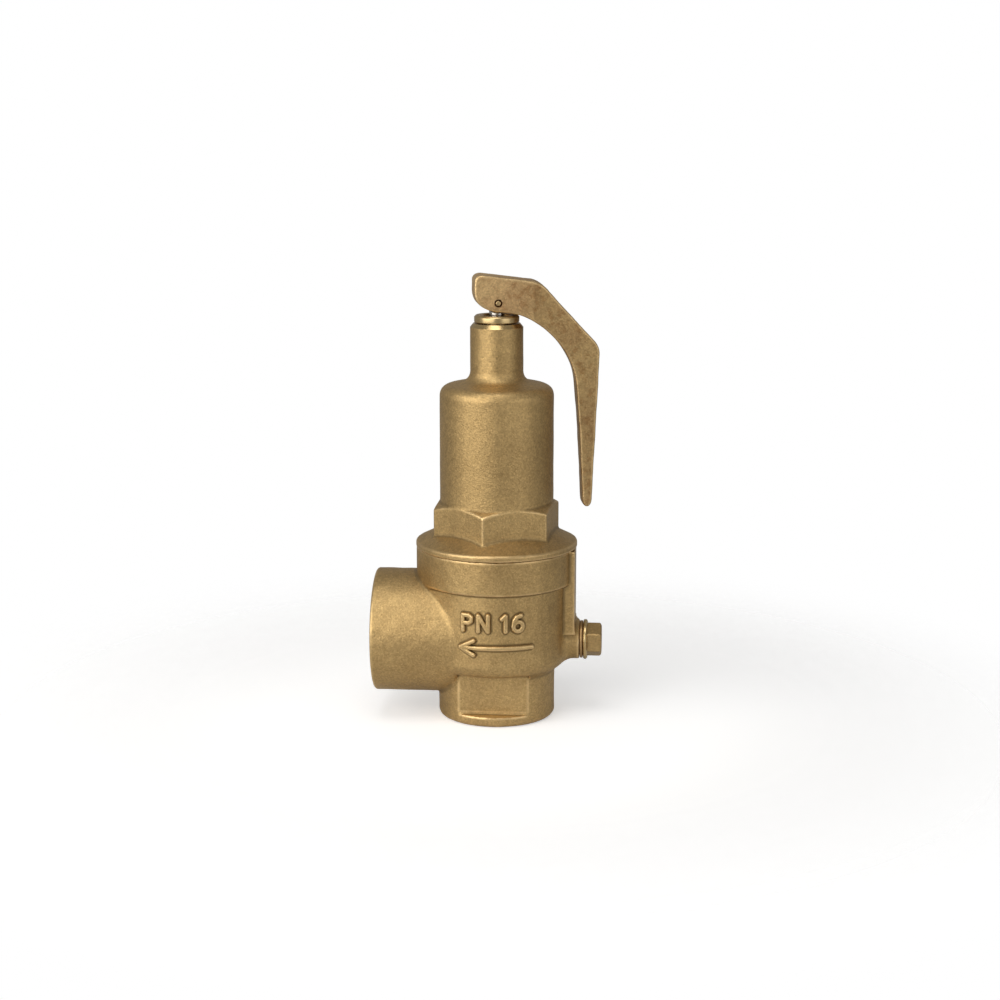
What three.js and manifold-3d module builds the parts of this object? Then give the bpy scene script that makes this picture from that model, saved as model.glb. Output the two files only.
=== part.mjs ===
// Pressure relief valve, 1 1/4 inch inlet, with an easing lever. Millimetres, +Z up.
// The origin is the centre of the inlet face, on the valve's axis. The outlet points along -X
// and the drain plug along +X. The disc is closed on its seat and the lever hangs down.
import * as THREE from "three";
import { mergeVertices } from "three/addons/utils/BufferGeometryUtils.js";
import Module from "manifold-3d";

// Driving dimensions
const GAP = 0.3; // between two pieces that touch
const ROUND = 36; // facets round a large turned piece
const SMALL_ROUND = 24; // facets round a small one

const INLET_R = 31; // boss at the foot, and its thread for a 1 1/4 inch pipe
const INLET_FLATS = 50;
const INLET_BORE_R = 20.2;
const INLET_DEPTH = 20;
const BOWL_R = 37.8; // body round the disc
const BOWL_Z = 31;
const BAND_R = 40.8; // thickened rim that takes the bonnet's thread
const BAND_Z = 73.5;
const BODY_TOP = 91.8;
const CHAMBER_R = 31;
const LEDGE_Z = 70; // step in the chamber that carries the guide plate
const SKIRT_BORE_R = 33.5;

const OUTLET_Z = 45; // side outlet, for a 1 1/2 inch pipe
const OUTLET_R = 32.8;
const OUTLET_X = -64.7;
const OUTLET_BORE_R = 23.2;
const OUTLET_DEPTH = 22.5;
const PASSAGE_R = 18;

const DRAIN_Z = 41.2; // tapping for the drain plug
const DRAIN_R = 10.4;
const DRAIN_X = 44.5;
const DRAIN_BORE_R = 6.2;
const PAD_X = 42.3; // flat pads above the drain boss and above the outlet
const PAD_HALF = 11.5;

const SEAT_R = 16; // clear bore of the seat
const SEAT_Z = 40; // sealing face
const PISTON_R = 17.5; // guided part of the disc carrier
const CUP_R = 10; // its hollow, round the foot of the spindle
const CUP_FLOOR = 61;
const CUP_TOP = 88;

const FLANGE_R = 42.8; // bonnet
const FLANGE_TOP = 95.3;
const HEX_FLATS = 60;
const HEX_TOP = 116.5;
const HEX_TURN = 22.4; // degrees from +X to a corner
const DOME_R = 30;
const DOME_BORE_R = 26;
const NECK_R = 13.9;
const NECK_TOP = 210.7;
const NECK_BORE_R = 10;

const SPRING_R = 19; // centre line of the wire
const WIRE_R = 2.75;
const LOWER_PLATE_TOP = 92.3;
const UPPER_PLATE_BASE = 166.3;
const PLATE_SPIGOT_R = 15.6;

const SPINDLE_R = 4;
const SPINDLE_END = 68;
const SPINDLE_HOLE_R = 4.5;
const NUT_TOP = 214.8; // lock nut under the lever
const PIN_Z = 221.5; // pivot of the lever
const PIN_R = 1.9;
const EYE_R = 4.8;
const LEVER_TURN = 10; // degrees from +X to the lever
const LEVER_HALF = 9;
const LEVER_SLOT_HALF = 4.25;

const rad = THREE.MathUtils.degToRad;
const wasm = await Module();
wasm.setup();

// ---- shapes ------------------------------------------------------------------------------

// A closed geometry as a manifold-3d solid, with its faces turned outwards.
function solid(geometry) {
  const bare = geometry.index ? geometry.toNonIndexed() : geometry.clone();
  bare.deleteAttribute("normal");
  bare.deleteAttribute("uv");
  const merged = mergeVertices(bare, 1e-3);
  const vertProperties = merged.attributes.position.array;
  const make = (triVerts) => {
    return new wasm.Manifold(new wasm.Mesh({ numProp: 3, vertProperties, triVerts }));
  };
  const triVerts = new Uint32Array(merged.index.array);
  const made = make(triVerts);
  return made.volume() < 0 ? make(triVerts.reverse()) : made;
}

// A solid as a geometry with flat faces.
function geometryOf(made) {
  const mesh = made.getMesh();
  const geometry = new THREE.BufferGeometry();
  geometry.setAttribute("position", new THREE.BufferAttribute(mesh.vertProperties, 3));
  geometry.setIndex(new THREE.BufferAttribute(mesh.triVerts, 1));
  const flat = geometry.toNonIndexed();
  flat.computeVertexNormals();
  return flat;
}

// Turned about Z: the profile's points are [radius, height].
function turned(profile, facets = SMALL_ROUND) {
  const points = profile.map(([r, z]) => new THREE.Vector2(r, z));
  const onAxis = profile[0][0] === 0 && profile.at(-1)[0] === 0;
  if (!onAxis) points.push(points[0].clone());
  return solid(new THREE.LatheGeometry(points, facets).rotateX(Math.PI / 2));
}

// A washer or sleeve with square corners.
function ring(inner, outer, base, top, facets = SMALL_ROUND) {
  return turned([[inner, base], [outer, base], [outer, top], [inner, top]], facets);
}

// A round rod along Z.
function rod(r, base, top, facets = SMALL_ROUND) {
  return turned([[0, base], [r, base], [r, top], [0, top]], facets);
}

// An O-ring whose section is an octagon.
function oRing(centreR, sectionR, z) {
  const corner = (k) => rad(22.5 + 45 * k);
  const profile = [...Array(8).keys()].map((k) => [
    centreR + sectionR * Math.cos(corner(k)),
    z + sectionR * Math.sin(corner(k)),
  ]);
  return turned(profile, SMALL_ROUND);
}

// Turns a solid that was made along Z so that it lies along X, at a height.
const alongX = (made, z) => made.rotate([0, 90, 0]).translate([0, 0, z]);

// Turns a solid that was made along Z so that it lies along Y, at a height.
const alongY = (made, z) => made.rotate([90, 0, 0]).translate([0, 0, z]);

function block(x0, x1, y0, y1, z0, z1) {
  const box = new THREE.BoxGeometry(x1 - x0, y1 - y0, z1 - z0);
  return solid(box.translate((x0 + x1) / 2, (y0 + y1) / 2, (z0 + z1) / 2));
}

// An upright hexagonal bar about Z, with one corner at the angle.
function hexBar(flats, base, top, corner = 0) {
  const r = flats / Math.sqrt(3);
  const bar = new THREE.CylinderGeometry(r, r, top - base, 6).rotateX(Math.PI / 2);
  bar.rotateZ(rad(corner - 30)); // the geometry has a corner at 90 degrees
  return solid(bar.translate(0, 0, (base + top) / 2));
}

// An outline in the XZ plane, thick along Y and centred on it.
function slab(shape, halfThick, curveSteps = 6) {
  const settings = { depth: 2 * halfThick, bevelEnabled: false, curveSegments: curveSteps };
  const made = new THREE.ExtrudeGeometry(shape, settings);
  return solid(made.rotateX(Math.PI / 2).translate(0, halfThick, 0));
}

// ---- materials ---------------------------------------------------------------------------

const finish = (color, roughness, metalness) => {
  return new THREE.MeshStandardMaterial({ color, roughness, metalness });
};
const castBronze = finish("#a8823f", 0.5, 0.9);
const leverBronze = finish("#9c7440", 0.55, 0.9);
const machinedBrass = finish("#cbaa62", 0.25, 1);
const stainless = finish("#b9bab8", 0.3, 1);
const springSteel = finish("#4b4d50", 0.45, 0.9);
const rubber = finish("#1c1c1d", 0.8, 0);
const copper = finish("#a5603d", 0.4, 1);

// ---- body --------------------------------------------------------------------------------

// Cast body: a foot with two spanner flats, a bowl, the thick rim and the side outlet.
function bodyCasting() {
  const outside = turned(
    [
      [0, 0], [INLET_R - 2.6, 0], [INLET_R, 2.6], [INLET_R, 25.6], [BOWL_R - 1.2, BOWL_Z],
      [BOWL_R, BOWL_Z + 2.5], [BOWL_R, BAND_Z - 1.5], [BAND_R - 0.8, BAND_Z - 0.6],
      [BAND_R, BAND_Z + 0.6], [BAND_R, BODY_TOP - 0.6], [BAND_R - 0.6, BODY_TOP], [0, BODY_TOP],
    ],
    ROUND,
  );
  const outlet = alongX(
    turned([[0, 0], [OUTLET_R, 0], [OUTLET_R, -OUTLET_X - 1.5], [OUTLET_R - 1.5, -OUTLET_X],
      [0, -OUTLET_X]], ROUND),
    0,
  ).scale([-1, 1, 1]).translate([0, 0, OUTLET_Z]);
  const drainBoss = alongX(
    turned([[0, 0], [DRAIN_R, 0], [DRAIN_R, DRAIN_X - 0.8], [DRAIN_R - 0.8, DRAIN_X], [0, DRAIN_X]]),
    DRAIN_Z,
  );
  const pads = block(-PAD_X, PAD_X, -PAD_HALF, PAD_HALF, DRAIN_Z, BODY_TOP - 0.6);
  let body = outside.add(outlet).add(drainBoss).add(pads);

  const flatDepth = INLET_R; // the cutters reach past the cone above the foot
  for (const side of [-1, 1]) {
    const near = side * (INLET_FLATS / 2);
    const far = side * (INLET_FLATS / 2 + flatDepth);
    body = body.subtract(block(-19, 19, Math.min(near, far), Math.max(near, far), 5.6, 29.2));
  }
  const inside = turned(
    [
      [0, -1], [INLET_BORE_R + 1, -1], [INLET_BORE_R + 1, 0], [INLET_BORE_R, 1],
      [INLET_BORE_R, INLET_DEPTH], [18.3, INLET_DEPTH + 1.5], [18.3, BOWL_Z], [26, BOWL_Z],
      [CHAMBER_R, BOWL_Z + 5], [CHAMBER_R, LEDGE_Z], [SKIRT_BORE_R, LEDGE_Z],
      [SKIRT_BORE_R, BODY_TOP + 1], [0, BODY_TOP + 1],
    ],
    ROUND,
  );
  const mouth = -OUTLET_X;
  const thread = turned(
    [[0, mouth - OUTLET_DEPTH], [OUTLET_BORE_R, mouth - OUTLET_DEPTH], [OUTLET_BORE_R, mouth - 1],
      [OUTLET_BORE_R + 1, mouth], [OUTLET_BORE_R + 1, mouth + 1], [0, mouth + 1]],
    ROUND,
  );
  const passage = alongX(rod(PASSAGE_R, 0, mouth - 10), 0).scale([-1, 1, 1]);
  const drainHole = alongX(rod(DRAIN_BORE_R, 20, DRAIN_X + 1, 20), DRAIN_Z);
  return body
    .subtract(inside)
    .subtract(alongX(thread, 0).scale([-1, 1, 1]).translate([0, 0, OUTLET_Z]))
    .subtract(passage.translate([0, 0, OUTLET_Z + 4.5]))
    .subtract(drainHole);
}

// Seat: a nozzle screwed into the bridge above the inlet, with a narrow raised lip.
function seatRing() {
  const lip = SEAT_R + 2;
  return turned([
    [SEAT_R, 22.5], [17.9, 22.5], [17.9, BOWL_Z + 1.6], [22, BOWL_Z + 1.6], [22, BOWL_Z + 5],
    [19.5, BOWL_Z + 6], [lip + 0.4, SEAT_Z - 0.6], [lip, SEAT_Z], [SEAT_R, SEAT_Z],
  ]);
}

const seatGasket = () => ring(18.3, 21.6, BOWL_Z + GAP, BOWL_Z + 1.3);

// Guide plate: clamped on the chamber's ledge by the bonnet's skirt, it guides the carrier.
function guidePlate() {
  const bore = PISTON_R + 0.3;
  const base = LEDGE_Z + GAP;
  return turned(
    [
      [bore, base], [SKIRT_BORE_R - GAP, base], [SKIRT_BORE_R - GAP, base + 4.4],
      [24, base + 4.4], [22, base + 6.5], [bore, base + 6.5], [bore, base + 4.6],
      [bore + 2, base + 4.6], [bore + 2, base + 2], [bore, base + 2],
    ],
    ROUND,
  );
}

const guideSeal = () => oRing(PISTON_R + 1.2, 0.95, LEDGE_Z + GAP + 3.3);

// ---- drain -------------------------------------------------------------------------------

const drainWasher = () => alongX(ring(6.6, 10, DRAIN_X + GAP, DRAIN_X + 1.8), DRAIN_Z);

// Plug: a threaded shank, a round collar and a hexagon, one corner of which is uppermost.
function drainPlug() {
  const collar = DRAIN_X + 2.1;
  const shank = turned([
    [0, 35], [5.2, 35], [5.9, 36], [5.9, collar], [10.2, collar], [10.65, collar + 0.5],
    [10.65, collar + 1.6], [9.6, collar + 2.2], [0, collar + 2.2],
  ]);
  const end = 56.3;
  const head = hexBar(16, collar + 1.5, end, 0);
  const crown = turned([[0, collar], [12, collar], [12, end - 2.2], [8, end], [0, end]]);
  return alongX(shank.add(head.intersect(crown)), DRAIN_Z);
}

// ---- bonnet ------------------------------------------------------------------------------

// Bonnet: a threaded skirt, a sloping flange, spanner hexagon, spring dome and neck.
function bonnet() {
  const flangeBase = BODY_TOP + GAP;
  const skirtBase = LEDGE_Z + 5.1;
  const outside = turned(
    [
      [0, skirtBase], [SKIRT_BORE_R - 1.3, skirtBase], [SKIRT_BORE_R - GAP, skirtBase + 1],
      [SKIRT_BORE_R - GAP, 88], [31.4, 88.2], [31.4, 91], [SKIRT_BORE_R - GAP, 91.2],
      [SKIRT_BORE_R - GAP, flangeBase], [FLANGE_R, flangeBase], [FLANGE_R, FLANGE_TOP - 0.6],
      [FLANGE_R - 0.7, FLANGE_TOP], [DOME_R, 101.1], [DOME_R, 174.2], [29.4, 176.4],
      [27.6, 178.4], [25.4, 179.5], [17, 181.8], [14.8, 182.8], [NECK_R, 184.6],
      [NECK_R, NECK_TOP - 0.7], [NECK_R - 0.7, NECK_TOP], [0, NECK_TOP],
    ],
    ROUND,
  );
  const cornerR = HEX_FLATS / Math.sqrt(3);
  const chamferDrop = (cornerR - DOME_R) * Math.tan(rad(30));
  const crown = turned([
    [0, 95], [cornerR + 1, 95], [cornerR + 1, HEX_TOP - chamferDrop - 0.6], [DOME_R - 0.5, HEX_TOP],
    [0, HEX_TOP],
  ]);
  const hexagon = hexBar(HEX_FLATS + 0.6, 95, HEX_TOP, HEX_TURN).intersect(crown);
  const inside = turned(
    [
      [0, skirtBase - 1], [25, skirtBase - 1], [25, 99], [DOME_BORE_R, 100],
      [DOME_BORE_R, 165.5], [25.2, 170], [22.4, 173.2], [17, 175.2], [NECK_BORE_R, 175.2],
      [NECK_BORE_R, NECK_TOP + 1], [0, NECK_TOP + 1],
    ],
    ROUND,
  );
  return outside.add(hexagon).subtract(inside);
}

const bonnetSeal = () => oRing(32.5, 0.9, 89.6);

// Round lock nut on the adjusting screw, tightened down on the neck. Two holes take a spanner.
function lockNut() {
  const base = NECK_TOP + GAP;
  const nut = turned([
    [7.3, base], [11.4, base], [11.8, base + 0.4], [11.8, NUT_TOP - 0.9], [10.9, NUT_TOP],
    [7.9, NUT_TOP], [7.3, NUT_TOP - 0.6],
  ]);
  const hole = rod(1.1, NUT_TOP - 1.6, NUT_TOP + 1, 12);
  return [0, 180].reduce((made, angle) => {
    const at = rad(angle + LEVER_TURN);
    return made.subtract(hole.translate([9.4 * Math.cos(at), 9.4 * Math.sin(at), 0]));
  }, nut);
}

// ---- spring and its setting --------------------------------------------------------------

// Spring: round wire, with the last turn at each end wound close.
function mainSpring() {
  const low = LOWER_PLATE_TOP + GAP + WIRE_R;
  const high = UPPER_PLATE_BASE - GAP - WIRE_R;
  const turns = 8;
  const closed = 2 * WIRE_R + GAP; // rise of a closed end turn
  class Helix extends THREE.Curve {
    getPoint(t, target = new THREE.Vector3()) {
      const turn = t * turns;
      const middle = (high - low - 2 * closed) / (turns - 2);
      const rise = closed * Math.min(turn, 1) + middle * THREE.MathUtils.clamp(turn - 1, 0, turns - 2)
        + closed * Math.max(turn - turns + 1, 0);
      const angle = 2 * Math.PI * turn;
      return target.set(SPRING_R * Math.cos(angle), SPRING_R * Math.sin(angle), low + rise);
    }
  }
  const section = new THREE.Shape();
  section.absarc(0, 0, WIRE_R, 0, 2 * Math.PI);
  const settings = { steps: turns * 12, curveSegments: 4, extrudePath: new Helix(), bevelEnabled: false };
  return solid(new THREE.ExtrudeGeometry(section, settings));
}

function upperSpringPlate() {
  const top = UPPER_PLATE_BASE + 4;
  return turned([
    [SPINDLE_HOLE_R + 0.2, UPPER_PLATE_BASE - 4.6], [PLATE_SPIGOT_R - 1, UPPER_PLATE_BASE - 4.6],
    [PLATE_SPIGOT_R, UPPER_PLATE_BASE - 3.6], [PLATE_SPIGOT_R, UPPER_PLATE_BASE],
    [22.2, UPPER_PLATE_BASE], [22.2, top - 1], [21.2, top], [10.4, top], [10.4, top - 2],
    [SPINDLE_HOLE_R + 0.2, top - 2],
  ]);
}

const thrustWasher = () => ring(SPINDLE_HOLE_R + 0.2, 10.1, UPPER_PLATE_BASE + 2.3, UPPER_PLATE_BASE + 4.1);

// Adjusting screw: hollow for the spindle, with a driving slot across its reduced top.
function adjustingScrew() {
  const tip = UPPER_PLATE_BASE + 4.4;
  const shoulder = NECK_TOP - 2.2;
  const top = NUT_TOP - 1.2;
  const screw = turned([
    [SPINDLE_HOLE_R, tip], [8.2, tip], [9.7, tip + 1.5], [9.7, shoulder - 0.8], [8.9, shoulder],
    [7, shoulder], [7, top - 0.5], [6.5, top], [SPINDLE_HOLE_R, top],
  ]);
  return screw.subtract(block(-8, 8, -1.2, 1.2, top - 2, top + 1));
}

// ---- disc --------------------------------------------------------------------------------

// Disc carrier: a skirt round the soft seal, and a hollow piston that slides in the guide plate.
function discCarrier() {
  const face = SEAT_Z + 4.3;
  return turned(
    [
      [0, face + 12], [4.3, face + 12], [4.3, face], [20, face], [20, face - 2.6], [22.5, face - 2.6],
      [22.5, face + 5], [PISTON_R, face + 8.6], [PISTON_R, CUP_TOP], [CUP_R, CUP_TOP], [CUP_R, 82.9],
      [CUP_R + 1.2, 82.9], [CUP_R + 1.2, 80.8], [CUP_R, 80.8], [CUP_R, CUP_FLOOR], [0, CUP_FLOOR],
    ],
    ROUND,
  );
}

const sealDisc = () => ring(4.5, 19.6, SEAT_Z + GAP, SEAT_Z + 4);

const sealRetainer = () => {
  return turned([[4.5, SEAT_Z - 2], [13.6, SEAT_Z - 2], [14.4, SEAT_Z - 1.2], [14.4, SEAT_Z], [4.5, SEAT_Z]]);
};

// Screw that holds the seal and its retainer, with a hexagon head in the nozzle.
function retainerScrew() {
  const seat = SEAT_Z - 2 - GAP;
  const shank = turned([[0, seat - 1], [4, seat - 1], [4, SEAT_Z + 14.6], [3.2, SEAT_Z + 15.6], [0, SEAT_Z + 15.6]]);
  return shank.add(hexBar(13, seat - 5.2, seat, 0));
}

// Lower spring plate: it rests on the carrier, with a spigot in the carrier's hollow.
function lowerSpringPlate() {
  const base = CUP_TOP + GAP;
  return turned([
    [SPINDLE_HOLE_R + 0.2, base - 3.6], [CUP_R - 0.4, base - 3.6], [CUP_R - 0.4, base], [22.3, base],
    [23.3, base + 1], [23.3, LOWER_PLATE_TOP], [PLATE_SPIGOT_R, LOWER_PLATE_TOP],
    [PLATE_SPIGOT_R, LOWER_PLATE_TOP + 3.6], [PLATE_SPIGOT_R - 1, LOWER_PLATE_TOP + 4.6],
    [SPINDLE_HOLE_R + 0.2, LOWER_PLATE_TOP + 4.6],
  ]);
}

// Snap ring in the carrier's groove: the lifting washer pulls the carrier up by it.
function carrierSnapRing() {
  const whole = ring(7, CUP_R + 0.9, 81.1, 82.6);
  return whole.subtract(block(0, 14, -2.5, 2.5, 80, 84));
}

// ---- spindle and lever -------------------------------------------------------------------

const liftWasher = () => ring(SPINDLE_HOLE_R, 9.4, 79.6, 80.8 - 0.1);

const footPinHole = (r) => alongY(rod(r, -12, 12, 16), 76.4);

// Spindle: a plain rod with a flat eye at the top for the lever's pin.
function spindle() {
  const shank = turned([[0, SPINDLE_END], [3.2, SPINDLE_END], [SPINDLE_R, SPINDLE_END + 0.8],
    [SPINDLE_R, PIN_Z], [0, PIN_Z]]);
  const eye = alongY(rod(EYE_R, -3.8, 3.8), PIN_Z);
  const pinHole = alongY(rod(PIN_R + 0.25, -9, 9, 20), PIN_Z);
  return shank.add(eye).subtract(pinHole).subtract(footPinHole(1.3));
}

const footNut = () => hexBar(15, 73.4, 79.3, 0).subtract(rod(SPINDLE_R + 0.25, 70, 82)).subtract(footPinHole(1.3));

const footPin = () => alongY(rod(1, -6.6, 6.6, 16), 76.4);

const leverPin = () => {
  const end = LEVER_HALF + 0.2;
  const tip = PIN_R - 0.8;
  return alongY(turned([[0, -end], [tip, -end], [PIN_R, -end + 1], [PIN_R, end - 1], [tip, end], [0, end]], 20), PIN_Z);
};

// Lever outline, seen from -Y: the head over the spindle, the elbow, and the hanging arm.
function leverOutline() {
  const shape = new THREE.Shape();
  shape.moveTo(-7.8, 236);
  shape.lineTo(18.6, 232.7);
  shape.quadraticCurveTo(23.8, 231.4, 26.8, 227); // shoulder
  shape.lineTo(51.2, 200.6);
  shape.quadraticCurveTo(53.8, 197.4, 53.7, 193.6); // elbow
  shape.lineTo(52.3, 163);
  shape.lineTo(50.1, 116.5);
  shape.quadraticCurveTo(49.6, 112.9, 47.6, 112.9); // tip
  shape.quadraticCurveTo(45.4, 113, 45.1, 116.4);
  shape.lineTo(43.3, 152.6);
  shape.lineTo(41.3, 178.6);
  shape.quadraticCurveTo(39.6, 194.8, 25.6, 206.7); // hollow of the elbow
  shape.quadraticCurveTo(18.8, 212.6, 11.2, 215.2);
  shape.quadraticCurveTo(3, 216.9, -1, 216.9);
  shape.quadraticCurveTo(-7, 217.8, -10.4, 221.2); // heel
  shape.quadraticCurveTo(-12.4, 223.8, -12.4, 228);
  shape.lineTo(-12.3, 233);
  shape.quadraticCurveTo(-11.8, 236, -7.8, 236);
  return shape;
}

// The space that the spindle sweeps inside the head while the lever turns on its pin.
function leverSlot() {
  const shape = new THREE.Shape();
  shape.moveTo(5.4, PIN_Z + 2);
  shape.quadraticCurveTo(4.6, PIN_Z + 5.7, 0, PIN_Z + 5.8);
  shape.lineTo(-2.8, PIN_Z + 4.9);
  shape.lineTo(-20, PIN_Z - 0.6);
  shape.lineTo(-20, PIN_Z - 14);
  shape.lineTo(5.4, PIN_Z - 14);
  return slab(shape, LEVER_SLOT_HALF);
}

// Lever: parallel cheeks as far as the crease, then both sides draw in to the narrower arm.
function lever() {
  const crease = 18.8;
  const armStart = 41;
  const armHalf = 5.4;
  const outer = 54;
  const outerHalf = 5;
  const plan = new THREE.Shape();
  plan.moveTo(-14, -LEVER_HALF);
  plan.lineTo(crease, -LEVER_HALF);
  plan.lineTo(armStart, -armHalf);
  plan.lineTo(outer, -outerHalf);
  plan.lineTo(outer, outerHalf);
  plan.lineTo(armStart, armHalf);
  plan.lineTo(crease, LEVER_HALF);
  plan.lineTo(-14, LEVER_HALF);
  const taper = new THREE.ExtrudeGeometry(plan, { depth: 140, bevelEnabled: false });
  const pinHole = alongY(rod(PIN_R + 0.15, -12, 12, 20), PIN_Z);
  return slab(leverOutline(), LEVER_HALF + 1, 8)
    .intersect(solid(taper.translate(0, 0, 105)))
    .subtract(leverSlot())
    .subtract(pinHole);
}

// ---- assembly ----------------------------------------------------------------------------

const valve = new THREE.Group();
const turnedWithLever = new THREE.Group();
turnedWithLever.rotation.z = rad(LEVER_TURN);
valve.add(turnedWithLever);

function place(group, name, made, material) {
  const mesh = new THREE.Mesh(geometryOf(made), material);
  mesh.name = name;
  group.add(mesh);
}

place(valve, "body_casting", bodyCasting(), castBronze);
place(valve, "seat_ring", seatRing(), machinedBrass);
place(valve, "seat_gasket", seatGasket(), copper);
place(valve, "guide_plate", guidePlate(), machinedBrass);
place(valve, "guide_seal", guideSeal(), rubber);
place(valve, "drain_washer", drainWasher(), copper);
place(valve, "drain_plug", drainPlug(), machinedBrass);
place(valve, "bonnet", bonnet(), castBronze);
place(valve, "bonnet_seal", bonnetSeal(), rubber);
place(valve, "lock_nut", lockNut(), machinedBrass);
place(valve, "main_spring", mainSpring(), springSteel);
place(valve, "upper_spring_plate", upperSpringPlate(), machinedBrass);
place(valve, "thrust_washer", thrustWasher(), stainless);
place(valve, "adjusting_screw", adjustingScrew(), machinedBrass);
place(valve, "disc_carrier", discCarrier(), machinedBrass);
place(valve, "seal_disc", sealDisc(), rubber);
place(valve, "seal_retainer", sealRetainer(), stainless);
place(valve, "retainer_screw", retainerScrew(), stainless);
place(valve, "lower_spring_plate", lowerSpringPlate(), machinedBrass);
place(valve, "carrier_snap_ring", carrierSnapRing(), stainless);
place(valve, "lift_washer", liftWasher(), stainless);
place(turnedWithLever, "spindle", spindle(), stainless);
place(turnedWithLever, "foot_nut", footNut(), stainless);
place(turnedWithLever, "foot_pin", footPin(), stainless);
place(turnedWithLever, "lever", lever(), leverBronze);
place(turnedWithLever, "lever_pin", leverPin(), stainless);

export default valve;
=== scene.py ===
import math

import bmesh
import bpy
import numpy as np
from mathutils import Matrix, Vector


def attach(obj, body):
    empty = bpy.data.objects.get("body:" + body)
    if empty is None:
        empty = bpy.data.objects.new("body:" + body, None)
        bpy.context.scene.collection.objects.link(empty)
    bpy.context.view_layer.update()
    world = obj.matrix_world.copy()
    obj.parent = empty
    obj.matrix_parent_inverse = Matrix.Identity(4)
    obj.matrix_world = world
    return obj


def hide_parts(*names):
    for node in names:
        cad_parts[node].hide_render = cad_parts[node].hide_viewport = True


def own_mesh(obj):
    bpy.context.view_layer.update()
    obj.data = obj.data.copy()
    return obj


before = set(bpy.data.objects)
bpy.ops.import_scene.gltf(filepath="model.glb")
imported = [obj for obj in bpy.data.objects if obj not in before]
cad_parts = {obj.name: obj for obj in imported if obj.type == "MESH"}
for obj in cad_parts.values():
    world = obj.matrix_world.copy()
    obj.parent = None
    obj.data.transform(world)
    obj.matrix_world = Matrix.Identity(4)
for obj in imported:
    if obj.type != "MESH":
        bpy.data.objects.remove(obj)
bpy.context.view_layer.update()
bpy.context.scene.view_settings.view_transform = "Standard"

# ---- Camera ---------------------------------------------------------------------------
# A long lens a little above the valve and a few degrees round to the drain side.
MM = 0.001  # all the sizes below are in millimetres
look_at = Vector((0, 0, 116.4)) * MM
turn, tilt, away = math.radians(4.4), math.radians(11.5), 1.06
camera = bpy.data.objects.new("camera", bpy.data.cameras.new("camera"))
bpy.context.scene.collection.objects.link(camera)
camera.data.lens = 72
camera.data.sensor_width = 36
camera.data.shift_x = 0.00325
back = Vector((math.sin(turn) * math.cos(tilt), -math.cos(turn) * math.cos(tilt), math.sin(tilt)))
camera.location = look_at + back * away
camera.rotation_euler = (-back).to_track_quat("-Z", "Y").to_euler()
camera.data.clip_start, camera.data.clip_end = 0.05, 20
bpy.context.scene.camera = camera


# ---- Body casting ---------------------------------------------------------------------
# One sand casting in gunmetal: a foot with two spanner flats, a bowl, a thick rim, the
# outlet towards -X and a small boss for the drain. Its forms run into each other in
# fillets, as the pattern's did. The sockets are cut afterwards, and stay bright.
def meld(a, b, r):
    """Joins two forms with a fillet of about r between them."""
    h = np.maximum(r - np.abs(a - b), 0) / r
    return np.minimum(a, b) - h * h * r / 4


def trim(a, b, r):
    """Keeps what is in both forms, and rounds the edge where they meet."""
    return -meld(-a, -b, r)


def drum(across, along, r, low, high, edge):
    """A round bar with rounded ends: across is the distance from its axis."""
    q = across - r + edge
    w = np.abs(along - (low + high) / 2) - (high - low) / 2 + edge
    return np.hypot(np.maximum(q, 0), np.maximum(w, 0)) + np.minimum(np.maximum(q, w), 0) - edge


def slope(across, along, at, degrees):
    """Outside a cone through the point (radius, height) whose wall leans in by degrees."""
    a = math.radians(degrees)
    return (across - at[0]) * math.cos(a) + (along - at[1]) * math.sin(a)


def block(x, y, z, middle, half, edge):
    q = [np.abs(v - m) - h + edge for v, m, h in zip((x, y, z), middle, half)]
    outside = np.sqrt(sum(np.maximum(v, 0) ** 2 for v in q))
    return outside + np.minimum(np.maximum(np.maximum(q[0], q[1]), q[2]), 0) - edge


def hand_rammed(x, y, z, depth):
    """The slight unevenness that a sand mould leaves."""
    a = np.sin(x * 0.31 + 1.3) * np.sin(y * 0.27 + 0.4) * np.sin(z * 0.23 + 2.1)
    b = np.sin(x * 0.63 + z * 0.37) * np.sin(y * 0.71 - z * 0.29)
    return depth * (a + 0.5 * b)


def towards(form, p, step):
    """The direction in which a form's distance grows, at each point."""
    grown = []
    for axis in range(3):
        d = np.zeros(3)
        d[axis] = step
        grown.append(form(*(p + d).T) - form(*(p - d).T))
    g = np.stack(grown, 1) / (2 * step)
    return g / np.maximum(np.linalg.norm(g, axis=1, keepdims=True), 1e-9)


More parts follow.
